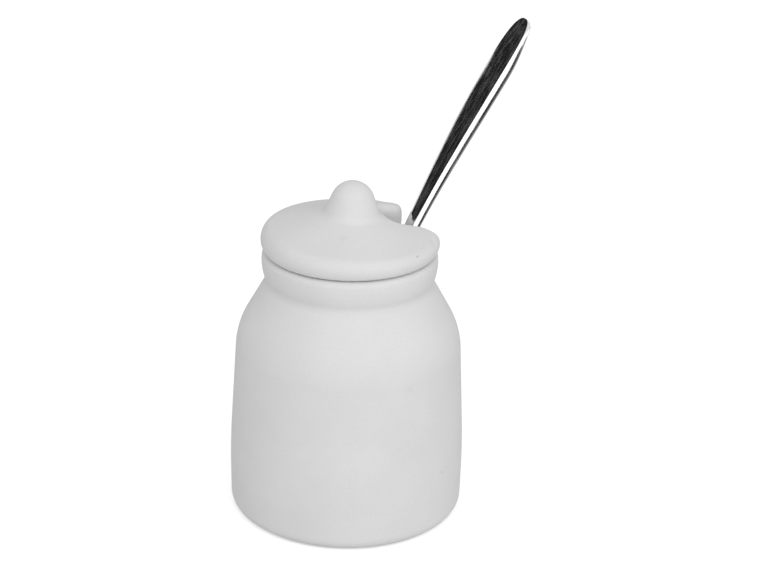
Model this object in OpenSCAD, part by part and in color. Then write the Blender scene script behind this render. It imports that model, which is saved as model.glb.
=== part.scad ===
// Honey pot: a stoneware jar with a loose domed lid and a long-handled spoon
// that leans out through a notch in the lid. Millimetres, +Z up, and the
// origin is at the middle of the foot.

/* [Jar body] */
// Radius of the body where it is widest
body_r = 42; // [38:0.5:50]
// Height of the widest place above the table
belly_z = 17; // [12:0.5:24]
// Radius of the body just above the curve of the foot
foot_r = 41.8; // [36:0.1:49]
// Radius of the curve between the foot and the side
foot_curve_r = 4.25; // [2:0.25:8]
// Lean of the side inward, in degrees
side_lean = 2.9; // [1:0.1:5]
// Radius of the slow curve that leads from the belly into the leaning side
belly_curve_r = 300; // [150:10:400]
// Height where the shoulder starts to turn in
shoulder_z = 61.5; // [50:0.5:66]
// Radius of the shoulder curve
shoulder_curve_r = 28; // [16:0.5:34]
// Slope of the shoulder from the vertical, in degrees
shoulder_lean = 29; // [25:0.5:34]

/* [Neck ring] */
// Height of the seat on top of the ring
seat_z = 97.9; // [96:0.1:106]
// Largest radius of the ring
ring_r = 31.2; // [30:0.1:33]
// Height of the ring's widest place
ring_z = 94.8; // [92:0.1:96]
// Radius of the ring's bulging face
ring_curve_r = 17.5; // [12:0.5:24]
// Radius of the hollow between the shoulder and the ring
groove_curve_r = 4; // [2:0.25:5]
// Radius of the ring's outer top edge
ring_edge_r = 2.5; // [1:0.1:3]
// Radius of the mouth
mouth_r = 24.6; // [22:0.1:25.5]
// Radius of the edge between the mouth and the seat
mouth_edge_r = 1.5; // [0.5:0.1:2]

/* [Jar inside] */
// Thickness of the wall
wall = 5; // [3.5:0.1:6]
// Thickness of the floor
floor_t = 6; // [4:0.1:8]
// Radius of the curve between the floor and the wall
floor_curve_r = 8; // [4:0.5:12]
// Radius of the bend from the shoulder's inside into the mouth
throat_curve_r = 6; // [3:0.5:8]

/* [Lid] */
// Largest radius of the lid
lid_r = 31.5; // [30:0.05:34]
// Height of the lid's widest place above the seat
lid_edge_h = 3.9; // [3:0.1:5]
// Radius of the rounded top edge of the rim
rim_top_r = 4.1; // [3:0.1:5.5]
// Radius of the slow curve under the widest place
rim_under_r = 5; // [4:0.1:12]
// Rise of the dome from rim to knob, in degrees
dome_rise = 17; // [12:0.5:22]
// Thickness of the dome
lid_t = 7; // [4:0.1:8]
// Depth of the flange that drops into the mouth
flange_h = 6; // [4:0.1:9]
// Width of the flange
flange_w = 4.5; // [3:0.1:6]
// Radius of the corner between the flange and the hollow under the lid
hollow_curve_r = 3; // [1:0.1:5]
// Clearance all round between the flange and the mouth
lid_gap = 0.6; // [0.3:0.1:1.5]

/* [Knob] */
// Height of the knob's top above the seat
knob_h = 25.4; // [24:0.1:34]
// Radius of the knob's ball
knob_r = 7.8; // [6:0.1:9]
// Flare of the knob's sides from the vertical, in degrees
knob_flare = 23.5; // [15:0.5:32]
// Radius of the hollow between the knob and the dome
knob_curve_r = 4; // [2:0.25:7]

/* [Spoon notch] */
// Direction of the notch and of the spoon, turned from +X toward +Y
notch_turn = 28.5; // [20:0.5:70]
// Width of the notch
notch_w = 14.4; // [13:0.1:16]
// Distance from the lid's centre to the inner end of the notch
notch_in = 11.5; // [11:0.1:14]
// Radius of the notch's inner corners
notch_in_r = 4; // [2:0.1:6]
// Radius of the two corners where the notch leaves the rim
notch_out_r = 6.5; // [4:0.1:8]
// Radius of the rounded lip along the notch's upper edge
lip_r = 2.8; // [1:0.1:3.5]

/* [Spoon] */
// Length of the spoon from end to end, along its curve
spoon_len = 193; // [180:1:230]
// Lean of the spoon from the vertical where it crosses the mouth, in degrees
spoon_lean = 28.2; // [25:0.1:32]
// Radius of the handle's long bow
handle_bow_r = 700; // [500:10:1600]
// Largest width of the handle
handle_w = 11.2; // [8:0.1:12.5]
// Distance from the handle's end to its widest place
handle_wide_at = 17; // [12:1:40]
// Distance from the handle's end to where the neck is slimmest
neck_at = 97; // [70:1:110]
// Width of the slim neck
neck_w = 4.6; // [4:0.1:7]
// Thickness of the handle's end
end_t = 2.6; // [1:0.1:3.5]
// Largest thickness of the handle
handle_t = 5.1; // [4:0.1:6]
// Distance from the handle's end to its thickest place
handle_thick_at = 24; // [18:1:60]
// Thickness of the neck
neck_t = 3.8; // [3:0.1:5]
// Rise of the crown along the middle of the handle's upper face
handle_crown = 0.4; // [0:0.1:1]
// Share of the thickness that the handle's lower edges are bevelled
handle_bevel = 0.4; // [0:0.05:0.6]
// Length of the bowl
bowl_len = 42; // [32:1:50]
// Width of the bowl
bowl_w = 24.5; // [18:0.5:28]
// Distance from the bowl's tip to its widest place
bowl_wide_at = 17.5; // [12:0.5:22]
// Depth of the bowl's hollow
bowl_depth = 6.5; // [4:0.1:8]
// Thickness of the bowl
bowl_t = 1.4; // [1:0.1:2]
// Lean of the bowl from the vertical, in degrees
bowl_lean = 34; // [31:0.5:36]
// Radius of the bend between the neck and the bowl
heel_r = 45; // [30:1:80]
// Clearance of the spoon to the jar's floor and mouth
spoon_gap = 0.2; // [0.05:0.05:1]

/* [Hidden] */
$fn = 96;
clay = [0.86, 0.86, 0.86];
steel = [0.62, 0.63, 0.65];
// Largest turn between two points of an arc, in degrees
arc_step = 6;

// Points of an arc about c from angle a to angle b
function arc(c, r, a, b) =
    let (n = max(2, ceil(abs(b - a) / arc_step)))
    [for (i = [0:n]) c + r * [cos(a + (b - a) * i / n), sin(a + (b - a) * i / n)]];

// Unit vector at angle a
function dir(a) = [cos(a), sin(a)];

// Point that lies d1 off the line through p1 and d2 off the line through p2,
// where the lines' normals point at angles a1 and a2
function offset_cross(p1, a1, d1, p2, a2, d2) =
    let (k1 = p1 * dir(a1) + d1, k2 = p2 * dir(a2) + d2, det = sin(a2 - a1))
    [k1 * sin(a2) - k2 * sin(a1), k2 * cos(a1) - k1 * cos(a2)] / det;

// Jar: centres of the curves of its outline, as radius and height
belly_c = [body_r - belly_curve_r, belly_z];
side_p = belly_c + belly_curve_r * dir(side_lean);
shoulder_p = [side_p.x - (shoulder_z - side_p.y) * tan(side_lean), shoulder_z];
shoulder_c = shoulder_p - shoulder_curve_r * dir(side_lean);
slope_p = shoulder_c + shoulder_curve_r * dir(shoulder_lean);
ring_c = [ring_r - ring_curve_r, ring_z];
slope_up = dir(shoulder_lean + 90);
groove_from = slope_p + groove_curve_r * dir(shoulder_lean) - ring_c;
groove_run = -groove_from * slope_up
    - sqrt(pow(groove_from * slope_up, 2) - groove_from * groove_from
        + pow(ring_curve_r + groove_curve_r, 2));
groove_c = ring_c + groove_from + groove_run * slope_up;
groove_turn = atan2(groove_c.y - ring_c.y, groove_c.x - ring_c.x);
ring_edge_z = seat_z - ring_edge_r;
ring_edge_c = [
    ring_c.x + sqrt(pow(ring_curve_r - ring_edge_r, 2) - pow(ring_edge_z - ring_z, 2)),
    ring_edge_z
];
ring_edge_turn = atan2(ring_edge_c.y - ring_c.y, ring_edge_c.x - ring_c.x);
mouth_edge_c = [mouth_r + mouth_edge_r, seat_z - mouth_edge_r];
throat_c = offset_cross([mouth_r, 0], 0, throat_curve_r,
    slope_p - wall * dir(shoulder_lean), shoulder_lean, throat_curve_r);
floor_c = offset_cross([0, floor_t], 90, floor_curve_r,
    shoulder_p - wall * dir(side_lean), side_lean, -floor_curve_r);
foot_c = [foot_r - foot_curve_r, foot_curve_r];

// Lid: centres of the curves of its outline, as radius and height
rim_z = seat_z + lid_edge_h;
rim_c = [lid_r - rim_top_r, rim_z];
dome_p = rim_c + rim_top_r * dir(90 - dome_rise);
rim_under_c = [lid_r - rim_under_r, rim_z];
rim_under_turn = asin(lid_edge_h / rim_under_r);
knob_top_z = seat_z + knob_h;
knob_c = [0, knob_top_z - knob_r];
knob_side_p = knob_c + knob_r * dir(knob_flare);
knob_curve_c = offset_cross(knob_side_p, knob_flare, knob_curve_r,
    dome_p, 90 - dome_rise, knob_curve_r);
flange_r = mouth_r - lid_gap;
flange_in_r = flange_r - flange_w;
flange_z = seat_z - flange_h;
roof_p = dome_p - lid_t * dir(90 - dome_rise);
hollow_c = offset_cross([flange_in_r, 0], 0, -hollow_curve_r,
    roof_p, 90 - dome_rise, -hollow_curve_r);
roof_top_z = roof_p.y + roof_p.x * tan(dome_rise);

// Notch: centres of its corner curves, along the notch and across it
notch_half = notch_w / 2;
corner_c = [
    sqrt(pow(lid_r - notch_out_r, 2) - pow(notch_half + notch_out_r, 2)),
    notch_half + notch_out_r
];
// The outer corners stop this many degrees short of the rim's own direction
corner_short = 10;
corner_end = atan2(corner_c.y, corner_c.x) - corner_short;
corner_p = corner_c + notch_out_r * dir(corner_end);
inner_c = [notch_in + notch_in_r, notch_half - notch_in_r];
// How far the cutter runs on past the rim
run_out = 8;
// Steps round an outer corner, round an inner corner and up the lip
corner_n = 7;
inner_n = 4;
lip_n = 4;
// Outline of one half of the notch from outside the rim to its inner end. Each
// entry is a point and the direction in which the lip opens there.
half_notch = concat(
    [[[lid_r + run_out, corner_p.y + run_out], [0, 0]],
     [corner_p + run_out * dir(corner_end + 90), -dir(corner_end)]],
    [for (i = [0:corner_n]) let (a = corner_end - (corner_end + 90) * i / corner_n)
        [corner_c + notch_out_r * dir(a), -dir(a)]],
    [for (i = [0:inner_n]) let (a = 90 + 90 * i / inner_n) [inner_c + notch_in_r * dir(a), dir(a)]]
);
function mirrored(v) = [v.x, -v.y];
notch_edge = concat(half_notch,
    [for (i = [len(half_notch) - 1:-1:0]) [mirrored(half_notch[i][0]), mirrored(half_notch[i][1])]]);

// Height of the lid's upper face at radius r, without its knob
function dome_z(r) = r < dome_p.x
    ? dome_p.y + (dome_p.x - r) * tan(dome_rise)
    : rim_z + sqrt(max(0, pow(rim_top_r, 2) - pow(r - rim_c.x, 2)));
// The lip is a quarter round that stops this many degrees short of level and
// runs straight out from there
lip_out = 15;
lip_run = 1.2;
function lip_step(a, run) = [
    lip_r * (1 - cos(a)) + run,
    lip_r * (1 - sin(a)) - run * tan(lip_out)
];
lip_steps = concat(
    [for (i = [0:lip_n]) lip_step((90 - lip_out) * i / lip_n, 0)],
    [lip_step(90 - lip_out, lip_run)]
);

module pot() {
    color(clay)
    rotate_extrude()
    polygon(concat(
        [[0, 0]],
        arc(foot_c, foot_curve_r, -90, 0),
        arc(belly_c, belly_curve_r, 0, side_lean),
        arc(shoulder_c, shoulder_curve_r, side_lean, shoulder_lean),
        arc(groove_c, groove_curve_r, shoulder_lean + 180, groove_turn + 180),
        arc(ring_c, ring_curve_r, groove_turn, ring_edge_turn),
        arc(ring_edge_c, ring_edge_r, ring_edge_turn, 90),
        arc(mouth_edge_c, mouth_edge_r, 90, 180),
        arc(throat_c, throat_curve_r, 180, 180 + shoulder_lean),
        arc(shoulder_c, shoulder_curve_r - wall, shoulder_lean, side_lean),
        arc(floor_c, floor_curve_r, side_lean, -90),
        [[0, floor_t]]
    ));
}

module lid_blank() {
    rotate_extrude()
    polygon(concat(
        [[0, roof_top_z]],
        arc(hollow_c, hollow_curve_r, 90 - dome_rise, 0),
        [[flange_in_r, flange_z], [flange_r, flange_z], [flange_r, seat_z]],
        arc(rim_under_c, rim_under_r, -rim_under_turn, 0),
        arc(rim_c, rim_top_r, 0, 90 - dome_rise),
        arc(knob_curve_c, knob_curve_r, 270 - dome_rise, 180 + knob_flare),
        arc(knob_c, knob_r, knob_flare, 90)
    ));
}

// Closed solid through rings of the same number of points, lowest ring first,
// each ring anticlockwise seen from above
module loft(rings) {
    n = len(rings[0]);
    m = len(rings);
    sides = [for (j = [0:m - 2], i = [0:n - 1]) let (k = (i + 1) % n)
        each [[j * n + i, (j + 1) * n + i, j * n + k], [j * n + k, (j + 1) * n + i, (j + 1) * n + k]]];
    ends = [for (i = [0:n / 2 - 2]) let (k = n - 1 - i, t = (m - 1) * n)
        each [[i, i + 1, k], [k, i + 1, k - 1], [t + i, t + k, t + i + 1], [t + k, t + k - 1, t + i + 1]]];
    polyhedron([for (ring = rings) each ring], concat(sides, ends));
}

// Tool that cuts the notch and rounds its upper edge
module notch() {
    low = flange_z - 1;
    high = knob_top_z;
    widest = lip_steps[len(lip_steps) - 1][0];
    function at(p, open, z) = [each (p[0] + open * p[1]), z];
    function lip_z(p) = dome_z(norm(p[0] + lip_r * p[1]));
    rotate([0, 0, notch_turn])
    loft(concat(
        [[for (p = notch_edge) at(p, 0, low)]],
        [for (step = lip_steps) [for (p = notch_edge) at(p, step[0], lip_z(p) - step[1])]],
        [[for (p = notch_edge) at(p, widest, high)]]
    ));
}

module lid() {
    color(clay)
    difference() {
        lid_blank();
        notch();
    }
}

// Spoon: its spine lies in the upright plane through the notch, as radius and
// height, and starts at the tip of the bowl. The neck leans on the mouth's edge.
spine_at_mouth = mouth_edge_c + (mouth_edge_r + spoon_gap + neck_t) * dir(180 - spoon_lean);
bow_c = spine_at_mouth + handle_bow_r * [cos(spoon_lean), -sin(spoon_lean)];
bowl_run = bowl_len * [sin(bowl_lean), cos(bowl_lean)];
// Lean of the neck where it bends into a bowl whose tip is at height z
function heel_lean_for(z) =
    asin((handle_bow_r * sin(spoon_lean) + heel_r * sin(bowl_lean)
        - (spine_at_mouth.y - z - bowl_run.y)) / (handle_bow_r + heel_r));
function bend_c_for(z) =
    let (a = heel_lean_for(z)) bow_c - (handle_bow_r + heel_r) * [cos(a), -sin(a)];
function tip_x_for(z) = bend_c_for(z).x + heel_r * cos(bowl_lean) - bowl_run.x;
// The tip stands on the floor, or on the floor's curve where it reaches that
floor_tip_z = floor_t + spoon_gap + bowl_t * sin(bowl_lean);
tip_past_floor = min(floor_curve_r, max(0, -tip_x_for(floor_tip_z) - floor_c.x));
bowl_tip_z = floor_tip_z + floor_curve_r - sqrt(pow(floor_curve_r, 2) - pow(tip_past_floor, 2));
heel_lean = heel_lean_for(bowl_tip_z);
heel_len = heel_r * (bowl_lean - heel_lean) * PI / 180;
bend_c = bend_c_for(bowl_tip_z);
bowl_p = bend_c + heel_r * [cos(bowl_lean), -sin(bowl_lean)];

// Lean of the spine at distance u from the bowl's tip
function lean_at(u) = u < bowl_len ? bowl_lean
    : u < bowl_len + heel_len ? bowl_lean - (u - bowl_len) / heel_r * 180 / PI
    : heel_lean + (u - bowl_len - heel_len) / handle_bow_r * 180 / PI;

// Point of the spine at distance u from the bowl's tip
function spine_at(u) = let (a = lean_at(u))
    u < bowl_len ? bowl_p - (bowl_len - u) * [sin(a), cos(a)]
    : u < bowl_len + heel_len ? bend_c + heel_r * [cos(a), -sin(a)]
    : bow_c - handle_bow_r * [cos(a), -sin(a)];

// Smooth step from 0 to 1 as x runs from a to b
function ease(x, a, b) = let (t = max(0, min(1, (x - a) / (b - a)))) (1 - cos(180 * t)) / 2;

// Powers that set how full the handle's round end is
end_full = 2.2;
end_blunt = 0.44;
// Lengths past the bowl in which its width runs out into the neck, and in
// which the handle takes on its crown and its bevels
bowl_run_out = 8;
crown_run_in = 20;
// Share of the bowl's length past which its metal thickens toward the neck
bowl_thin_to = 0.7;
// Powers that set where the bowl's hollow is deepest and how full it is
hollow_skew = 0.8;
hollow_full = 0.8;
// Power that keeps the handle's bevels near its edges
bevel_power = 6;

// Half width of the spoon at distance u from the bowl's tip
function half_width(u) =
    let (s = spoon_len - u, run_end = bowl_len + bowl_run_out)
    s < handle_wide_at
        ? handle_w / 2 * pow(max(0, 1 - pow(1 - s / handle_wide_at, end_full)), end_blunt)
    : u > run_end ? handle_w / 2 + (neck_w - handle_w) / 2 * ease(s, handle_wide_at, neck_at)
    : u > bowl_wide_at ? bowl_w / 2 + (neck_w - bowl_w) / 2 * ease(u, bowl_wide_at, run_end)
    : bowl_w / 2 * sqrt(max(0, 1 - pow(1 - u / bowl_wide_at, 2)));

// Thickness at distance u from the bowl's tip
function thickness(u) =
    let (s = spoon_len - u)
    u < bowl_len ? bowl_t + (neck_t - bowl_t) * ease(u, bowl_len * bowl_thin_to, bowl_len)
    : s > handle_thick_at ? handle_t + (neck_t - handle_t) * ease(s, handle_thick_at, neck_at)
    : end_t + (handle_t - end_t) * ease(s, 0, handle_thick_at);

// Depth of the hollow below the bowl's rim at distance u from its tip, and
// the crown of the handle as a hollow less than nothing
function hollow(u) = u < bowl_len
    ? bowl_depth * pow(sin(180 * pow(u / bowl_len, hollow_skew)), hollow_full)
    : -handle_crown * ease(u, bowl_len, bowl_len + crown_run_in);

// Outline of the spoon's section, across and up from the spine: along its
// upper face from one edge to the other, and back along its under face
section_n = 10;
function section(u) =
    let (b = half_width(u), t = thickness(u), h = hollow(u),
        bevel = handle_bevel * ease(u, bowl_len, bowl_len + crown_run_in))
    concat(
        [for (i = [0:section_n]) let (k = cos(180 * i / section_n)) [b * k, -h * (1 - k * k)]],
        [for (i = [section_n:-1:0]) let (k = cos(180 * i / section_n))
            [b * k, -h * (1 - k * k) - t * (1 - bevel * pow(k, bevel_power))]]
    );
stations = 64;
// The spoon's ends are cut square by this much, where it is a point
end_cut = 0.25;

module spoon() {
    color(steel)
    rotate([0, 0, notch_turn])
    loft([for (i = [0:stations])
        let (u = end_cut + (spoon_len - 2 * end_cut) * i / stations, c = spine_at(u), a = lean_at(u))
        [for (q = section(u)) [c.x - q.y * cos(a), q.x, c.y + q.y * sin(a)]]
    ]);
}

pot();
lid();
spoon();
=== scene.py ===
"""Looks of a small ceramic honey pot: unglazed jar, loose notched lid and a
polished spoon. Lengths in the shape code are millimetres, as in the model. A few
differ a little from it, after the one pot in the photograph, and move its
surfaces by about a millimetre at most."""
import math

import bpy
import numpy as np
from mathutils import Matrix, Vector


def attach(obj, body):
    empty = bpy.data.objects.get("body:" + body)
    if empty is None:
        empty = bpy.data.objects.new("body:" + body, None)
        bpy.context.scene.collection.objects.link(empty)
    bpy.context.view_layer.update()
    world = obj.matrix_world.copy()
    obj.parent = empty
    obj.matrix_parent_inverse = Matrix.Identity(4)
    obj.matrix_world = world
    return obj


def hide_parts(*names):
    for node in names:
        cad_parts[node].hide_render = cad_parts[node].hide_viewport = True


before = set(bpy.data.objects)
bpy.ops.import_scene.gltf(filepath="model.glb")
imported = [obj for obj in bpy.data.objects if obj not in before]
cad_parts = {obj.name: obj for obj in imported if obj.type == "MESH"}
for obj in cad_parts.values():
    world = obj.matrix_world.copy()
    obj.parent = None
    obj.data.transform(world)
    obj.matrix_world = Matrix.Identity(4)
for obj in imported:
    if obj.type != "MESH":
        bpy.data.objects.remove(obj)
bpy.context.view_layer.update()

MM = 0.001
RNG = np.random.default_rng(7)
scene = bpy.context.scene
scene.view_settings.view_transform = "Standard"

# Jar outline
BODY_R, BELLY_Z, FOOT_R, FOOT_CURVE_R = 42, 17, 41.8, 4.25
SIDE_LEAN, BELLY_CURVE_R = 2.9, 300
SHOULDER_Z, SHOULDER_CURVE_R, SHOULDER_LEAN = 61.5, 28, 29
SEAT_Z, RING_R, RING_Z, RING_CURVE_R = 97.9, 31.1, 94.3, 17.5
GROOVE_CURVE_R, RING_EDGE_R, MOUTH_R, MOUTH_EDGE_R = 4, 2.5, 24.6, 1.5
WALL, FLOOR_T, FLOOR_CURVE_R, THROAT_CURVE_R = 5, 6, 8, 6

# Marks of hand turning: how far the lines and the sway stand out, the level
# that they start at and the height and radius over which they grow in
LINE_H, SWAY_H, SWAY_LEVEL, SWAY_IN_H, SWAY_IN_R = 0.012, 0.06, 3, 4, 10
# Number of waves in the turning lines, and the fewest and most to a millimetre
LINE_WAVES, LINE_FEWEST, LINE_MOST = 9, 0.15, 0.6
# Each sway as lobes round the jar, height per radian of twist, and start
SWAYS = [(2, 23, 0), (3, -31, 1.3)]

# Lid outline and knob
LID_R, LID_EDGE_H, RIM_TOP_R, RIM_UNDER_R = 31.5, 3.9, 4.1, 5
DOME_RISE, LID_T, FLANGE_H, FLANGE_W = 17, 7, 6, 4.5
HOLLOW_CURVE_R, LID_GAP = 3, 0.6
# The lid bears on the seat inside SEAT_OUT_R, and its rim stands this clear of it
SEAT_OUT_R, RIM_RELIEF = 27.0, 0.65
KNOB_H, KNOB_R, KNOB_FLARE, KNOB_CURVE_R = 25.4, 7.8, 22.5, 3
# Lean of the dome and knob, in degrees, the height in which it grows in, and
# the run toward the far side over which it turns round
LID_LEAN, LEAN_IN, LEAN_BACK = 2.1, 4, 12

# Notch in the lid
NOTCH_TURN, NOTCH_W, NOTCH_IN, NOTCH_IN_R, NOTCH_OUT_R = 28.5, 14.4, 11.5, 4, 6.5
# Angle by which each corner's arc stops short of touching the rim, and how far
# the cutter reaches past the rim and below the flange
CORNER_SHORT, CUTTER_REACH, CUTTER_BELOW = 10, 8, 1
# Radius of the lip, the angle from level at which it ends, and its straight run
# from there
LIP_R, LIP_OUT, LIP_RUN = 2.8, 8, 1.5
CORNER_STEPS, INNER_STEPS, LIP_STEPS = 16, 12, 10
# Sponged edges: reach of the softening, height over the seat that it starts at,
# distance out along the notch past which its corners count, and how much each
# pass smooths
SOFT_REACH, SOFT_UP, SOFT_CORNERS_AT, SOFT_FACTOR = 5, 0.6, 20, 0.5

# Spoon
SPOON_LEN, SPOON_LEAN, HANDLE_BOW_R = 193.8, 28.2, 634
HANDLE_W, HANDLE_WIDE_AT, NECK_AT, NECK_W = 10.9, 17.8, 97, 4.6
END_T, HANDLE_T, HANDLE_THICK_AT, NECK_T = 2.45, 5.05, 21.2, 3.8
HANDLE_CROWN, HANDLE_BEVEL = 0.4, 0.4
# Softened edges: width, steps, and the least angle in degrees that is softened
EDGE_W, EDGE_STEPS, EDGE_ANGLE = 0.22, 2, 50
# Powers that set how full the handle's round end is
END_FULL, END_BLUNT = 2.8, 0.39
BOWL_LEN, BOWL_W, BOWL_WIDE_AT, BOWL_DEPTH, BOWL_T = 42, 24.5, 17.5, 6.5, 1.4
BOWL_LEAN, HEEL_R, SPOON_GAP = 34, 45, 0.2
# Runs past the bowl in which the width, and the crown and bevel, reach the
# handle's, and run before the handle's end in which the crown flattens out
WIDTH_RUN, CROWN_RUN, FLAT_RUN = 8, 20, 22
# Share of the bowl that keeps its thickness, powers of its hollow and of the
# handle's bevel
BOWL_THIN, HOLLOW_SKEW, HOLLOW_FULL, BEVEL_FULL = 0.7, 0.8, 0.8, 6
# Sections along the spoon and points across, how much the sections crowd toward
# its ends, and how far short of them they stop
STATIONS, ACROSS, CROWDING, END_CUT = 240, 24, 0.85, 0.05

# Mesh: outline steps, segments round the axis, least gap between points, the
# lid's voxels and the passes that soften its notch
POT_STEP, LID_STEP, SEGMENTS, LEAST_GAP = 0.9, 0.7, 240, 1e-6
VOXEL, QUICK_VOXEL = 0.45, 0.8
SOFT_PASSES, QUICK_SOFT_PASSES = 30, 10

# Clay: roughness, shine, relief in metres, and for clouds, grain and turning
# lines the waves to a metre, octaves and how rough they are
CLAY_ROUGH, CLAY_SHINE, CLAY_RELIEF = 0.92, 0.15, 0.00006
CLOUDS, GRAIN, LINES = (45, 4, 0.55), (2400, 3, 0.6), (1500, 2, 0.5)
# Share of the height's waves that the turning lines have round the jar, and how
# strongly the lines and the grain stand out
LINE_DRAWN, LINE_STRENGTH, GRAIN_STRENGTH = 0.12, 0.35, 0.7
# Greys of the clouds, what the grain multiplies them by, and the colour of the small marks: painted
# shade in pits and a scratch, and the grey of two smudges
CLOUD_GREYS, GRAIN_GREYS = [(0.3, 0.685), (0.7, 0.715)], [(0.3, 0.965), (0.7, 1.035)]
PIT_SHADE_AND_SMUDGE_COLOUR = (0.25, 0.24, 0.23, 1)

# Steel: colour, and its streaks: waves to a metre and octaves, how many degrees
# more upright they run than the spoon does at the mouth, how many times longer
# than wide they are, and the roughness and metal that they give
STEEL_COLOUR, STREAKS = (0.72, 0.72, 0.73, 1), (900, 2)
STREAK_UPRIGHT, STREAK_STRETCH = 5, 60
STREAK_ROUGH, STREAK_METAL = [(0.35, 0.05), (0.75, 0.16)], [(0.42, 1), (0.7, 0.93)]

# Camera: metres in front of the axis and up, degrees, and millimetres of lens
CAMERA_BACK, CAMERA_UP = 0.72, 0.39301
CAMERA_PITCH, CAMERA_YAW, CAMERA_ROLL = 23.106, 0.854, 1.452
LENS, SENSOR_W, CLIP_START = 105.02, 36, 0.01

# Lights as name, place and power, and what they share, in metres and watts
LIGHTS = [("key", (-0.05, -1.05, 1.1), 6.8), ("fill", (0.8, -0.9, 0.7), 3.2)]
LIGHT_AIM, LIGHT_SIZE = (0, 0, 0.08), 0.9
# Cards as name, place, aim, size and grey, in metres
CARDS = [
    ("dark_card", (-0.95, 0.30, 0.33), (0.04, 0.03, 0.14), (1.1, 0.9), 0.02),
    ("crease_card", (0.32, 0.0, 0.001), (0.32, 0.0, 1), (0.5, 0.1), 0.05),
    ("edge_card", (0.38, 0.35, 0.001), (0.38, 0.35, 1), (0.7, 0.6), 0.4),
]
# Floor: side and drop in metres, its white, its glow, and more glow where a
# shiny surface sees it
FLOOR_SIDE, FLOOR_DROP, FLOOR_WHITE, FLOOR_GLOW, FLOOR_SHINE = 6, 0.0002, 0.8, 0.45, 0.6
# Strength of the surroundings as light; they are seen as plain white
SKY_LIGHT = 0.62

# Small marks on the clay as centre and radius in millimetres, and strength: the first
# four are painted shade, dark spots standing for the shade in pits and a scratch, and
# the last two are faint smudges on the clay
PIT_SHADE_AND_SMUDGES = [
    ((34, -24.4, 23.3), 0.45, 0.75),
    ((22.9, -20.2, 103.8), 0.55, 0.9),
    ((23.6, -19.3, 104.1), 0.4, 0.5),
    ((24.3, -18.4, 104.4), 0.35, 0.4),
    ((-2.5, -17.5, 109.1), 2.6, 0.09),
    ((21.5, -34, 60), 2.2, 0.06),
]


def unit(a):
    """Unit vector at angle a, in degrees."""
    return np.array([math.cos(math.radians(a)), math.sin(math.radians(a))])


def arc(c, r, a, b, step):
    """Points about c from angle a to angle b, no further apart than step."""
    n = max(3, math.ceil(abs(math.radians(b - a)) * r / step))
    return [np.array(c) + r * unit(a + (b - a) * i / n) for i in range(n + 1)]


def offset_cross(p1, a1, d1, p2, a2, d2):
    """Point d1 off the line through p1 and d2 off the line through p2, whose
    normals point at a1 and a2."""
    rows = np.array([unit(a1), unit(a2)])
    return np.linalg.solve(rows, [np.dot(p1, unit(a1)) + d1, np.dot(p2, unit(a2)) + d2])


def heading(v):
    """Angle of a vector, in degrees."""
    return math.degrees(math.atan2(v[1], v[0]))


def resample(points, step):
    """The same outline with points added so that none are further apart."""
    out = [np.array(points[0], float)]
    for p in points[1:]:
        p = np.array(p, float)
        gap = np.linalg.norm(p - out[-1])
        if gap < LEAST_GAP:
            continue
        n = max(1, math.ceil(gap / step))
        start = out[-1]
        out += [start + (p - start) * i / n for i in range(1, n + 1)]
    return np.array(out)


def mesh_object(name, verts, faces):
    """Object from points in millimetres."""
    mesh = bpy.data.meshes.new(name)
    mesh.from_pydata((np.asarray(verts) * MM).tolist(), [], faces)
    mesh.validate()
    mesh.update()
    obj = bpy.data.objects.new(name, mesh)
    scene.collection.objects.link(obj)
    mesh.shade_smooth()
    return obj


def lathe(name, outline, segments):
    """Closed solid turned from an outline that starts and ends on the axis."""
    rings = outline[1:-1]
    turns = np.linspace(0, 2 * math.pi, segments, endpoint=False)
    verts = [(0, 0, outline[0][1])]
    for r, z in rings:
        verts += [(r * math.cos(t), r * math.sin(t), z) for t in turns]
    verts.append((0, 0, outline[-1][1]))
    faces = []
    last = len(rings) - 1
    for k in range(segments):
        n = (k + 1) % segments
        faces.append((0, 1 + n, 1 + k))
        faces.append((len(verts) - 1, 1 + last * segments + k, 1 + last * segments + n))
        for j in range(last):
            a, b = 1 + j * segments, 1 + (j + 1) * segments
            faces.append((a + k, a + n, b + n, b + k))
    return mesh_object(name, verts, faces)


def loft(name, rings):
    """Closed solid through rings of the same number of points."""
    n, m = len(rings[0]), len(rings)
    faces = []
    for j in range(m - 1):
        for i in range(n):
            k = (i + 1) % n
            faces.append((j * n + i, j * n + k, (j + 1) * n + k, (j + 1) * n + i))
    top = (m - 1) * n
    for i in range(n // 2 - 1):
        k = n - 1 - i
        faces.append((i, k, k - 1, i + 1))
        faces.append((top + i, top + i + 1, top + k - 1, top + k))
    return mesh_object(name, np.concatenate(rings), faces)


def apply_modifiers(obj):
    """Turns the object's modifiers into its mesh."""
    shaped = obj.evaluated_get(bpy.context.evaluated_depsgraph_get())
    mesh = bpy.data.meshes.new_from_object(shaped)
    obj.modifiers.clear()
    obj.data = mesh
    mesh.shade_smooth()


def read_points(mesh):
    """The mesh's points in metres, one to a row."""
    co = np.empty(len(mesh.vertices) * 3)
    mesh.vertices.foreach_get("co", co)
    return co.reshape(-1, 3)


def write_points(mesh, co):
    """Moves the mesh's points to these, in metres."""
    mesh.vertices.foreach_set("co", co.ravel())
    mesh.update()


def wobble(t, waves, low, high):
    """Sum of seeded sine waves over t, between low and high waves per unit."""
    total = np.zeros_like(t)
    for _ in range(waves):
        total += np.sin(2 * math.pi * RNG.uniform(low, high) * t + RNG.uniform(0, 2 * math.pi))
    return total / math.sqrt(waves)


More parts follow.
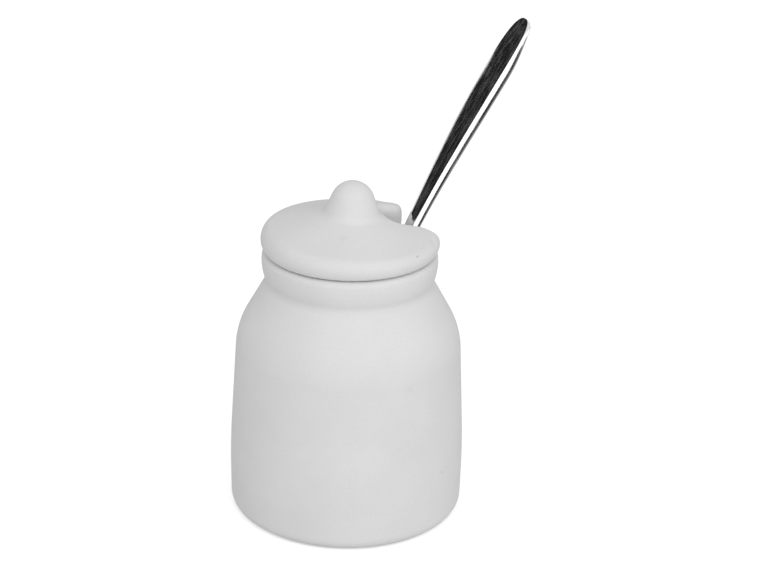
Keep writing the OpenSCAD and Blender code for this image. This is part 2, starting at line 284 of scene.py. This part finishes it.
def hand_turned(obj):
    """Faint turning lines and a slight unevenness, as on a hand-finished jar.
    Nothing moves at or below SWAY_LEVEL, so that the foot stays true."""
    co = read_points(obj.data)
    r = np.hypot(co[:, 0], co[:, 1])
    angle = np.arctan2(co[:, 1], co[:, 0])
    z = co[:, 2] / MM
    lines = wobble(z, LINE_WAVES, LINE_FEWEST, LINE_MOST) * LINE_H
    sways = sum(np.sin(lobes * angle + z / pitch + start) for lobes, pitch, start in SWAYS)
    sway = sways * SWAY_H / len(SWAYS)
    outside = np.clip((r / MM - SWAY_IN_R) / SWAY_IN_R, 0, 1)
    fade = np.clip((z - SWAY_LEVEL) / SWAY_IN_H, 0, 1) * outside
    grow = (lines + sway) * fade * MM
    scale = 1 + np.where(r > 0, grow / np.maximum(r, LEAST_GAP), 0)
    co[:, 0] *= scale
    co[:, 1] *= scale
    write_points(obj.data, co)


# Jar centres, as radius and height
belly_c = np.array([BODY_R - BELLY_CURVE_R, BELLY_Z])
side_p = belly_c + BELLY_CURVE_R * unit(SIDE_LEAN)
side_in = (SHOULDER_Z - side_p[1]) * math.tan(math.radians(SIDE_LEAN))
shoulder_p = np.array([side_p[0] - side_in, SHOULDER_Z])
shoulder_c = shoulder_p - SHOULDER_CURVE_R * unit(SIDE_LEAN)
slope_p = shoulder_c + SHOULDER_CURVE_R * unit(SHOULDER_LEAN)
ring_c = np.array([RING_R - RING_CURVE_R, RING_Z])
ring_edge_z = SEAT_Z - RING_EDGE_R
mouth_edge_c = np.array([MOUTH_R + MOUTH_EDGE_R, SEAT_Z - MOUTH_EDGE_R])
floor_c = offset_cross([0, FLOOR_T], 90, FLOOR_CURVE_R,
                       shoulder_p - WALL * unit(SIDE_LEAN), SIDE_LEAN, -FLOOR_CURVE_R)


def pot_outline(step):
    """Half outline of the jar from the middle of its foot to its inside floor."""
    slope_up = unit(SHOULDER_LEAN + 90)
    start = slope_p + GROOVE_CURVE_R * unit(SHOULDER_LEAN) - ring_c
    along = start @ slope_up
    run = -along - math.sqrt(along**2 - start @ start + (RING_CURVE_R + GROOVE_CURVE_R) ** 2)
    groove_c = ring_c + start + run * slope_up
    groove_turn = heading(groove_c - ring_c)
    reach = math.sqrt((RING_CURVE_R - RING_EDGE_R) ** 2 - (ring_edge_z - RING_Z) ** 2)
    ring_edge_c = np.array([ring_c[0] + reach, ring_edge_z])
    ring_edge_turn = heading(ring_edge_c - ring_c)
    throat_c = offset_cross([MOUTH_R, 0], 0, THROAT_CURVE_R,
                            slope_p - WALL * unit(SHOULDER_LEAN), SHOULDER_LEAN, THROAT_CURVE_R)
    points = [[0, 0]]
    points += arc([FOOT_R - FOOT_CURVE_R, FOOT_CURVE_R], FOOT_CURVE_R, -90, 0, step)
    points += arc(belly_c, BELLY_CURVE_R, 0, SIDE_LEAN, step)
    points += arc(shoulder_c, SHOULDER_CURVE_R, SIDE_LEAN, SHOULDER_LEAN, step)
    points += arc(groove_c, GROOVE_CURVE_R, SHOULDER_LEAN + 180, groove_turn + 180, step / 2)
    points += arc(ring_c, RING_CURVE_R, groove_turn, ring_edge_turn, step / 2)
    points += arc(ring_edge_c, RING_EDGE_R, ring_edge_turn, 90, step / 2)
    points += arc(mouth_edge_c, MOUTH_EDGE_R, 90, 180, step / 2)
    points += arc(throat_c, THROAT_CURVE_R, 180, 180 + SHOULDER_LEAN, step)
    points += arc(shoulder_c, SHOULDER_CURVE_R - WALL, SHOULDER_LEAN, SIDE_LEAN, step)
    points += arc(floor_c, FLOOR_CURVE_R, SIDE_LEAN, -90, step)
    points.append([0, FLOOR_T])
    return resample(points, step)


# Lid centres, as radius and height
rim_z = SEAT_Z + LID_EDGE_H
rim_c = np.array([LID_R - RIM_TOP_R, rim_z])
dome_p = rim_c + RIM_TOP_R * unit(90 - DOME_RISE)
knob_top_z = SEAT_Z + KNOB_H
flange_r = MOUTH_R - LID_GAP
flange_z = SEAT_Z - FLANGE_H


def lid_outline(step):
    """Half outline of the lid from the roof of its hollow to its knob's top."""
    knob_c = np.array([0, knob_top_z - KNOB_R])
    knob_side_p = knob_c + KNOB_R * unit(KNOB_FLARE)
    knob_curve_c = offset_cross(knob_side_p, KNOB_FLARE, KNOB_CURVE_R,
                                dome_p, 90 - DOME_RISE, KNOB_CURVE_R)
    flange_in_r = flange_r - FLANGE_W
    roof_p = dome_p - LID_T * unit(90 - DOME_RISE)
    hollow_c = offset_cross([flange_in_r, 0], 0, -HOLLOW_CURVE_R,
                            roof_p, 90 - DOME_RISE, -HOLLOW_CURVE_R)
    under_turn = math.degrees(math.asin((LID_EDGE_H - RIM_RELIEF) / RIM_UNDER_R))
    under_c = np.array([LID_R - RIM_UNDER_R, rim_z])
    lowest = under_c + RIM_UNDER_R * unit(-under_turn)
    points = [[0, roof_p[1] + roof_p[0] * math.tan(math.radians(DOME_RISE))]]
    points += arc(hollow_c, HOLLOW_CURVE_R, 90 - DOME_RISE, 0, step)
    points += [[flange_in_r, flange_z], [flange_r, flange_z], [flange_r, SEAT_Z]]
    points += [[SEAT_OUT_R, SEAT_Z], [SEAT_OUT_R + RIM_RELIEF, lowest[1]]]
    points += arc(under_c, RIM_UNDER_R, -under_turn, 0, step / 2)
    points += arc(rim_c, RIM_TOP_R, 0, 90 - DOME_RISE, step / 2)
    points += arc(knob_curve_c, KNOB_CURVE_R, 270 - DOME_RISE, 180 + KNOB_FLARE, step / 2)
    points += arc(knob_c, KNOB_R, KNOB_FLARE, 90, step / 2)
    return resample(points, step)


def dome_z(r):
    """Height of the lid's upper face at radius r, without its knob."""
    if r < dome_p[0]:
        return dome_p[1] + (dome_p[0] - r) * math.tan(math.radians(DOME_RISE))
    return rim_z + math.sqrt(max(0, RIM_TOP_R**2 - (r - rim_c[0]) ** 2))


def notch_edge():
    """Outline of the notch, as points and the directions in which its lip opens."""
    half = NOTCH_W / 2
    corner_y = half + NOTCH_OUT_R
    corner_c = np.array([math.sqrt((LID_R - NOTCH_OUT_R) ** 2 - corner_y**2), corner_y])
    end = heading(corner_c) - CORNER_SHORT
    corner_p = corner_c + NOTCH_OUT_R * unit(end)
    inner_c = np.array([NOTCH_IN + NOTCH_IN_R, half - NOTCH_IN_R])
    side = [(np.array([LID_R, corner_p[1]]) + CUTTER_REACH, np.zeros(2)),
            (corner_p + CUTTER_REACH * unit(end + 90), -unit(end))]
    for i in range(CORNER_STEPS + 1):
        a = end - (end + 90) * i / CORNER_STEPS
        side.append((corner_c + NOTCH_OUT_R * unit(a), -unit(a)))
    for i in range(INNER_STEPS + 1):
        a = 90 + 90 * i / INNER_STEPS
        side.append((inner_c + NOTCH_IN_R * unit(a), unit(a)))
    flip = np.array([1, -1])
    return side + [(p * flip, d * flip) for p, d in reversed(side)]


def notch_cutter():
    """Tool that cuts the notch and rounds its upper edge."""
    edge = notch_edge()
    profile = []
    for i in range(LIP_STEPS + 1):
        a = math.radians((90 - LIP_OUT) * i / LIP_STEPS)
        profile.append((LIP_R * (1 - math.cos(a)), LIP_R * (1 - math.sin(a))))
    out, low = profile[-1]
    profile.append((out + LIP_RUN, low - LIP_RUN * math.tan(math.radians(LIP_OUT))))
    turn = math.radians(NOTCH_TURN)
    spin = np.array([[math.cos(turn), -math.sin(turn)], [math.sin(turn), math.cos(turn)]])

    def ring(opening, height):
        """The edge opened by this much, at this height or at the lip's top."""
        points = []
        for p, d in edge:
            x, y = spin @ (p + opening * d)
            lip_z = dome_z(np.linalg.norm(p + LIP_R * d))
            points.append((x, y, height if height is not None else lip_z))
        return np.array(points)

    rings = [ring(0, flange_z - CUTTER_BELOW)]
    for opening, drop in profile:
        rings.append(ring(opening, None) - [0, 0, drop])
    rings.append(ring(profile[-1][0], knob_top_z))
    return loft("cutter", rings)


def soften_notch(obj, passes):
    """Rounds the notch's edges as sponged clay is, and leaves the rest alone."""
    turn = math.radians(NOTCH_TURN)
    group = obj.vertex_groups.new(name="notch")
    half = NOTCH_W / 2
    for v in obj.data.vertices:
        x, y, z = v.co / MM
        if z < SEAT_Z + SOFT_UP:
            continue
        s = x * math.cos(turn) + y * math.sin(turn)
        w = abs(-x * math.sin(turn) + y * math.cos(turn))
        side = half + NOTCH_OUT_R if s > SOFT_CORNERS_AT else half
        near = min(1, (min(s - NOTCH_IN, side - w) + SOFT_REACH) / SOFT_REACH)
        if near > 0:
            group.add([v.index], near, "REPLACE")
    smooth = obj.modifiers.new("soften", "SMOOTH")
    smooth.factor = SOFT_FACTOR
    smooth.iterations = passes
    smooth.vertex_group = "notch"
    apply_modifiers(obj)


def lean_lid(obj):
    """Leans the dome and the knob toward +X, as hand-made lids do, and leaves
    the rim's under side true. The lean grows in over LEAN_IN above the rim's
    middle and turns round over LEAN_BACK toward the notch's far lobe, which
    stands high."""
    co = read_points(obj.data) / MM
    slope = math.tan(math.radians(LID_LEAN)) * np.clip((co[:, 2] - rim_z) / LEAN_IN, 0, 1)
    x = co[:, 0].copy()
    far = np.clip((co[:, 1] - KNOB_R) / LEAN_BACK, 0, 1)
    co[:, 0] += slope * (co[:, 2] - rim_z)
    co[:, 2] -= slope * (x - 2 * far * np.maximum(x, 0))
    write_points(obj.data, co * MM)


def make_pot():
    """The jar, with its marks of hand turning."""
    obj = lathe("jar_shell", pot_outline(POT_STEP), SEGMENTS)
    hand_turned(obj)
    return obj


def make_lid():
    """The lid, cut, sponged along its notch and leaned."""
    obj = lathe("lid_shell", lid_outline(LID_STEP), SEGMENTS)
    cutter = notch_cutter()
    cut = obj.modifiers.new("cut", "BOOLEAN")
    cut.operation = "DIFFERENCE"
    cut.solver = "MANIFOLD"
    cut.object = cutter
    apply_modifiers(obj)
    bpy.data.objects.remove(cutter)
    remesh = obj.modifiers.new("remesh", "REMESH")
    remesh.mode = "VOXEL"
    remesh.voxel_size = VOXEL * MM
    apply_modifiers(obj)
    soften_notch(obj, SOFT_PASSES)
    lean_lid(obj)
    return obj


def ease(x, a, b):
    """Rises smoothly from 0 at a to 1 at b."""
    t = min(1, max(0, (x - a) / (b - a)))
    return (1 - math.cos(math.pi * t)) / 2


class Spine:
    """Middle line of the spoon's upper face in the upright plane through the
    notch, from the bowl's tip (u = 0) to the handle's end."""

    def __init__(self):
        lean = math.radians(SPOON_LEAN)
        mouth = mouth_edge_c + (MOUTH_EDGE_R + SPOON_GAP + NECK_T) * unit(180 - SPOON_LEAN)
        self.mouth_z = mouth[1]
        self.sin_lean = math.sin(lean)
        self.bow_c = mouth + HANDLE_BOW_R * np.array([math.cos(lean), -math.sin(lean)])
        self.bowl_run = BOWL_LEN * unit(90 - BOWL_LEAN)
        low = FLOOR_T + SPOON_GAP + BOWL_T * math.sin(math.radians(BOWL_LEAN))
        past = min(FLOOR_CURVE_R, max(0, -self.tip_x(low) - floor_c[0]))
        tip_z = low + FLOOR_CURVE_R - math.sqrt(FLOOR_CURVE_R**2 - past**2)
        self.heel_lean = self.heel_lean_for(tip_z)
        self.bend_c = self.bend_c_for(tip_z)
        self.heel_len = HEEL_R * (math.radians(BOWL_LEAN) - self.heel_lean)
        self.bowl_p = self.bend_c + HEEL_R * self.side(math.radians(BOWL_LEAN))

    @staticmethod
    def side(a):
        """Direction across the spine where it leans by a, in radians."""
        return np.array([math.cos(a), -math.sin(a)])

    def heel_lean_for(self, z):
        """Lean where the heel's bend meets the handle's, for a tip at z."""
        rise = HANDLE_BOW_R * self.sin_lean + HEEL_R * math.sin(math.radians(BOWL_LEAN))
        return math.asin((rise - (self.mouth_z - z - self.bowl_run[1])) / (HANDLE_BOW_R + HEEL_R))

    def bend_c_for(self, z):
        """Centre of the heel's bend, for a tip at z."""
        return self.bow_c - (HANDLE_BOW_R + HEEL_R) * self.side(self.heel_lean_for(z))

    def tip_x(self, z):
        """Distance out of the bowl's tip, for a tip at z."""
        return self.bend_c_for(z)[0] + HEEL_R * math.cos(math.radians(BOWL_LEAN)) - self.bowl_run[0]

    def at(self, u):
        """Point and lean of the spine at distance u."""
        if u < BOWL_LEN:
            a = math.radians(BOWL_LEAN)
            return self.bowl_p - (BOWL_LEN - u) * np.array([math.sin(a), math.cos(a)]), a
        if u < BOWL_LEN + self.heel_len:
            a = math.radians(BOWL_LEAN) - (u - BOWL_LEN) / HEEL_R
            return self.bend_c + HEEL_R * self.side(a), a
        a = self.heel_lean + (u - BOWL_LEN - self.heel_len) / HANDLE_BOW_R
        return self.bow_c - HANDLE_BOW_R * self.side(a), a


def half_width(u):
    """Half the spoon's width at distance u from the bowl's tip."""
    s = SPOON_LEN - u
    run_end = BOWL_LEN + WIDTH_RUN
    if s < HANDLE_WIDE_AT:
        round_end = max(0, 1 - (1 - s / HANDLE_WIDE_AT) ** END_FULL)
        return HANDLE_W / 2 * round_end ** END_BLUNT
    if u > run_end:
        return HANDLE_W / 2 + (NECK_W - HANDLE_W) / 2 * ease(s, HANDLE_WIDE_AT, NECK_AT)
    if u > BOWL_WIDE_AT:
        return BOWL_W / 2 + (NECK_W - BOWL_W) / 2 * ease(u, BOWL_WIDE_AT, run_end)
    return BOWL_W / 2 * math.sqrt(max(0, 1 - (1 - u / BOWL_WIDE_AT) ** 2))


def thickness(u):
    """The spoon's thickness at distance u from the bowl's tip."""
    s = SPOON_LEN - u
    if u < BOWL_LEN:
        return BOWL_T + (NECK_T - BOWL_T) * ease(u, BOWL_LEN * BOWL_THIN, BOWL_LEN)
    if s > HANDLE_THICK_AT:
        return HANDLE_T + (NECK_T - HANDLE_T) * ease(s, HANDLE_THICK_AT, NECK_AT)
    return END_T + (HANDLE_T - END_T) * ease(s, 0, HANDLE_THICK_AT)


def hollow(u):
    """Depth of the bowl's hollow, and less than 0 where the handle is crowned."""
    if u < BOWL_LEN:
        deep = math.sin(math.pi * (u / BOWL_LEN) ** HOLLOW_SKEW)
        return BOWL_DEPTH * deep ** HOLLOW_FULL
    crown_in = ease(u, BOWL_LEN, BOWL_LEN + CROWN_RUN)
    return -HANDLE_CROWN * crown_in * ease(SPOON_LEN - u, 0, FLAT_RUN)


def spoon_section(u, n):
    """Section across and up from the spine: upper face, then under face."""
    b, t, h = half_width(u), thickness(u), hollow(u)
    bevel = HANDLE_BEVEL * ease(u, BOWL_LEN, BOWL_LEN + CROWN_RUN)
    across = [math.cos(math.pi * i / n) for i in range(n + 1)]
    upper = [(b * k, -h * (1 - k * k)) for k in across]
    under = [(b * k, -h * (1 - k * k) - t * (1 - bevel * k**BEVEL_FULL))
             for k in reversed(across)]
    return upper + under


def make_spoon():
    """The spoon, lofted along its spine with its edges softened."""
    spine = Spine()
    turn = math.radians(NOTCH_TURN)
    rings = []
    for i in range(STATIONS + 1):
        t = i / STATIONS
        crowded = t - math.sin(2 * math.pi * t) / (2 * math.pi) * CROWDING
        u = END_CUT + (SPOON_LEN - 2 * END_CUT) * crowded
        c, a = spine.at(u)
        ring = []
        for x, y in spoon_section(u, ACROSS):
            r, z = c[0] - y * math.cos(a), c[1] + y * math.sin(a)
            ring.append((r * math.cos(turn) - x * math.sin(turn),
                         r * math.sin(turn) + x * math.cos(turn), z))
        rings.append(np.array(ring))
    obj = loft("spoon_steel", rings)
    bevel = obj.modifiers.new("edge", "BEVEL")
    bevel.width = EDGE_W * MM
    bevel.segments = EDGE_STEPS
    bevel.limit_method = "ANGLE"
    bevel.angle_limit = math.radians(EDGE_ANGLE)
    bevel.harden_normals = True
    apply_modifiers(obj)
    return obj


def new_material(name):
    """A new material with its nodes, links and main shader."""
    mat = bpy.data.materials.new(name)
    mat.use_nodes = True
    nodes, links = mat.node_tree.nodes, mat.node_tree.links
    return mat, nodes, links, nodes["Principled BSDF"]


def noise(nodes, links, vector, scale, detail, rough=0.5):
    """Value of a cloudy noise over the vector, with scale waves to a metre."""
    node = nodes.new("ShaderNodeTexNoise")
    node.inputs["Scale"].default_value = scale
    node.inputs["Detail"].default_value = detail
    node.inputs["Roughness"].default_value = rough
    links.new(vector, node.inputs["Vector"])
    return node.outputs["Fac"]


def ramp(nodes, links, value, stops):
    """Grey that follows the value between two stops of position and grey."""
    node = nodes.new("ShaderNodeValToRGB")
    links.new(value, node.inputs["Fac"])
    for mark, (pos, grey) in zip(node.color_ramp.elements, stops):
        mark.position = pos
        mark.color = (grey, grey, grey, 1)
    return node.outputs["Color"]


def scaled(nodes, links, factors):
    """Object coordinates, scaled by different factors along X, Y and Z."""
    place = nodes.new("ShaderNodeTexCoord")
    mapping = nodes.new("ShaderNodeMapping")
    mapping.inputs["Scale"].default_value = factors
    links.new(place.outputs["Object"], mapping.inputs["Vector"])
    return mapping.outputs["Vector"]


def bump(nodes, links, height, distance, strength, under=None):
    """Normal that follows a height, with distance in metres."""
    node = nodes.new("ShaderNodeBump")
    node.inputs["Distance"].default_value = distance
    node.inputs["Strength"].default_value = strength
    links.new(height, node.inputs["Height"])
    if under is not None:
        links.new(under, node.inputs["Normal"])
    return node.outputs["Normal"]


def spot(nodes, links, centre, radius, strength):
    """Falls smoothly from strength at the centre to nothing at the radius."""
    place = nodes.new("ShaderNodeTexCoord")
    away = nodes.new("ShaderNodeVectorMath")
    away.operation = "DISTANCE"
    away.inputs[1].default_value = Vector(centre) * MM
    links.new(place.outputs["Object"], away.inputs[0])
    near = nodes.new("ShaderNodeMapRange")
    near.interpolation_type = "SMOOTHSTEP"
    near.inputs["From Max"].default_value = radius * MM
    near.inputs["To Min"].default_value = strength
    near.inputs["To Max"].default_value = 0
    links.new(away.outputs["Value"], near.inputs["Value"])
    return near.outputs["Result"]


def mixed(nodes, links, kind, factor, base, over):
    """Colour base with colour over it, mixed in by the factor."""
    mix = nodes.new("ShaderNodeMix")
    mix.data_type = "RGBA"
    mix.blend_type = kind
    for value, socket in ((factor, "Factor"), (base, "A"), (over, "B")):
        if isinstance(value, bpy.types.NodeSocket):
            links.new(value, mix.inputs[socket])
        else:
            mix.inputs[socket].default_value = value
    return mix.outputs["Result"]


def bisque(name):
    """Unglazed white clay: fine grain, faint turning lines, painted shade in a few pits and a
    scratch, and two faint smudges.
    """
    mat, nodes, links, shader = new_material(name)
    shader.inputs["Roughness"].default_value = CLAY_ROUGH
    shader.inputs["Specular IOR Level"].default_value = CLAY_SHINE
    plain = scaled(nodes, links, (1, 1, 1))
    flat = scaled(nodes, links, (LINE_DRAWN, LINE_DRAWN, 1))
    grain = noise(nodes, links, plain, *GRAIN)
    cloud = ramp(nodes, links, noise(nodes, links, plain, *CLOUDS), CLOUD_GREYS)
    specks = ramp(nodes, links, grain, GRAIN_GREYS)
    colour = mixed(nodes, links, "MULTIPLY", 1, cloud, specks)
    # Painted shade: pits and a scratch are coloured dark for the shade in their hollows; the two
    # wide, faint spots are smudges on the clay
    for centre, radius, strength in PIT_SHADE_AND_SMUDGES:
        pit_shade_and_smudge = spot(nodes, links, centre, radius, strength)
        colour = mixed(nodes, links, "MIX", pit_shade_and_smudge, colour, PIT_SHADE_AND_SMUDGE_COLOUR)
    links.new(colour, shader.inputs["Base Color"])
    lines = noise(nodes, links, flat, *LINES)
    normal = bump(nodes, links, lines, CLAY_RELIEF, LINE_STRENGTH)
    normal = bump(nodes, links, grain, CLAY_RELIEF, GRAIN_STRENGTH, normal)
    links.new(normal, shader.inputs["Normal"])
    return mat


def steel(name):
    """Polished steel with faint streaks along its length."""
    mat, nodes, links, shader = new_material(name)
    shader.inputs["Base Color"].default_value = STEEL_COLOUR
    place = nodes.new("ShaderNodeTexCoord")
    along = nodes.new("ShaderNodeMapping")
    along.vector_type = "TEXTURE"
    lean, turn = math.radians(SPOON_LEAN - STREAK_UPRIGHT), math.radians(NOTCH_TURN)
    along.inputs["Rotation"].default_value = (0, lean, turn)
    along.inputs["Scale"].default_value = (1, 1, STREAK_STRETCH)
    links.new(place.outputs["Object"], along.inputs["Vector"])
    streaks = noise(nodes, links, along.outputs["Vector"], *STREAKS)
    links.new(ramp(nodes, links, streaks, STREAK_ROUGH), shader.inputs["Roughness"])
    links.new(ramp(nodes, links, streaks, STREAK_METAL), shader.inputs["Metallic"])
    return mat


def finish_piece(obj, node, mat):
    """Gives the object its material and puts it in the place of its node."""
    obj.data.materials.clear()
    obj.data.materials.append(mat)
    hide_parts(node)
    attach(obj, node)


def bare_tree(owner, output):
    """Empties the nodes of a material or world, and adds its output."""
    owner.use_nodes = True
    nodes, links = owner.node_tree.nodes, owner.node_tree.links
    nodes.clear()
    return nodes, links, nodes.new(output).inputs["Surface"]


def mixed_by_ray(nodes, links, for_light, for_sight):
    """Light path and shader: one for light, one for the camera and shine."""
    path = nodes.new("ShaderNodeLightPath")
    seen = nodes.new("ShaderNodeMath")
    seen.operation = "MAXIMUM"
    links.new(path.outputs["Is Camera Ray"], seen.inputs[0])
    links.new(path.outputs["Is Glossy Ray"], seen.inputs[1])
    mix = nodes.new("ShaderNodeMixShader")
    links.new(seen.outputs[0], mix.inputs[0])
    links.new(for_light.outputs[0], mix.inputs[1])
    links.new(for_sight.outputs[0], mix.inputs[2])
    return path, mix.outputs[0]


def make_stage():
    """White floor that keeps a soft shadow."""
    bpy.ops.mesh.primitive_plane_add(size=FLOOR_SIDE, location=(0, 0, -FLOOR_DROP))
    floor = bpy.context.object
    floor.name = "floor"
    mat = bpy.data.materials.new("floor_white")
    nodes, links, surface = bare_tree(mat, "ShaderNodeOutputMaterial")
    lit = nodes.new("ShaderNodeBsdfDiffuse")
    lit.inputs["Color"].default_value = (FLOOR_WHITE, FLOOR_WHITE, FLOOR_WHITE, 1)
    glow = nodes.new("ShaderNodeEmission")
    both = nodes.new("ShaderNodeAddShader")
    links.new(lit.outputs[0], both.inputs[0])
    links.new(glow.outputs[0], both.inputs[1])
    path, seen = mixed_by_ray(nodes, links, lit, both)
    links.new(seen, surface)
    more = nodes.new("ShaderNodeMath")
    more.operation = "MULTIPLY_ADD"
    links.new(path.outputs["Is Glossy Ray"], more.inputs[0])
    more.inputs[1].default_value = FLOOR_SHINE
    more.inputs[2].default_value = FLOOR_GLOW
    links.new(more.outputs[0], glow.inputs["Strength"])
    floor.data.materials.append(mat)


def make_world():
    """Soft light from all round, seen as plain white."""
    world = bpy.data.worlds.new("studio")
    scene.world = world
    nodes, links, surface = bare_tree(world, "ShaderNodeOutputWorld")
    soft = nodes.new("ShaderNodeBackground")
    soft.inputs["Color"].default_value = (1, 1, 1, 1)
    soft.inputs["Strength"].default_value = SKY_LIGHT
    white = nodes.new("ShaderNodeBackground")
    white.inputs["Color"].default_value = (1, 1, 1, 1)
    links.new(mixed_by_ray(nodes, links, soft, white)[1], surface)


def area_light(name, place, power):
    """Square light turned to the jar, which no shiny surface sees."""
    light = bpy.data.lights.new(name, "AREA")
    light.shape = "SQUARE"
    light.size = LIGHT_SIZE
    light.energy = power
    obj = bpy.data.objects.new(name, light)
    scene.collection.objects.link(obj)
    obj.location = place
    ahead = Vector(LIGHT_AIM) - Vector(place)
    obj.rotation_euler = ahead.to_track_quat("-Z", "Y").to_euler()
    obj.visible_glossy = False


def studio_card(name, place, aim, size, grey):
    """Studio card that only shiny surfaces see, facing the aim."""
    bpy.ops.mesh.primitive_plane_add(size=1)
    card = bpy.context.object
    card.name = name
    card.scale = (*size, 1)
    card.location = place
    card.rotation_euler = (Vector(aim) - card.location).to_track_quat("Z", "Y").to_euler()
    mat = bpy.data.materials.new(name)
    nodes, links, surface = bare_tree(mat, "ShaderNodeOutputMaterial")
    plain = nodes.new("ShaderNodeEmission")
    plain.inputs["Color"].default_value = (grey, grey, grey, 1)
    links.new(plain.outputs[0], surface)
    card.data.materials.append(mat)
    card.visible_camera = False
    card.visible_diffuse = False
    card.visible_shadow = False
    card.visible_transmission = False


def make_camera():
    """Camera as the photograph was taken: above, in front and slightly tilted."""
    pitch, yaw = math.radians(CAMERA_PITCH), math.radians(CAMERA_YAW)
    roll = math.radians(CAMERA_ROLL)
    ahead = Vector((math.sin(yaw) * math.cos(pitch),
                    math.cos(yaw) * math.cos(pitch),
                    -math.sin(pitch)))
    level = Vector((math.cos(yaw), -math.sin(yaw), 0))
    up = level.cross(ahead)
    right = level * math.cos(roll) + up * math.sin(roll)
    top = up * math.cos(roll) - level * math.sin(roll)
    cam = bpy.data.cameras.new("camera")
    cam.lens = LENS
    cam.sensor_width = SENSOR_W
    cam.clip_start = CLIP_START
    obj = bpy.data.objects.new("camera", cam)
    scene.collection.objects.link(obj)
    turn = Matrix((right, top, -ahead)).transposed().to_4x4()
    obj.matrix_world = Matrix.Translation((0, -CAMERA_BACK, CAMERA_UP)) @ turn
    scene.camera = obj


make_camera()
make_stage()
make_world()
for card in CARDS:
    studio_card(*card)
for light in LIGHTS:
    area_light(*light)

clay = bisque("bisque_clay")
finish_piece(make_pot(), "pot", clay)
finish_piece(make_lid(), "lid", clay)
finish_piece(make_spoon(), "spoon", steel("polished_steel"))
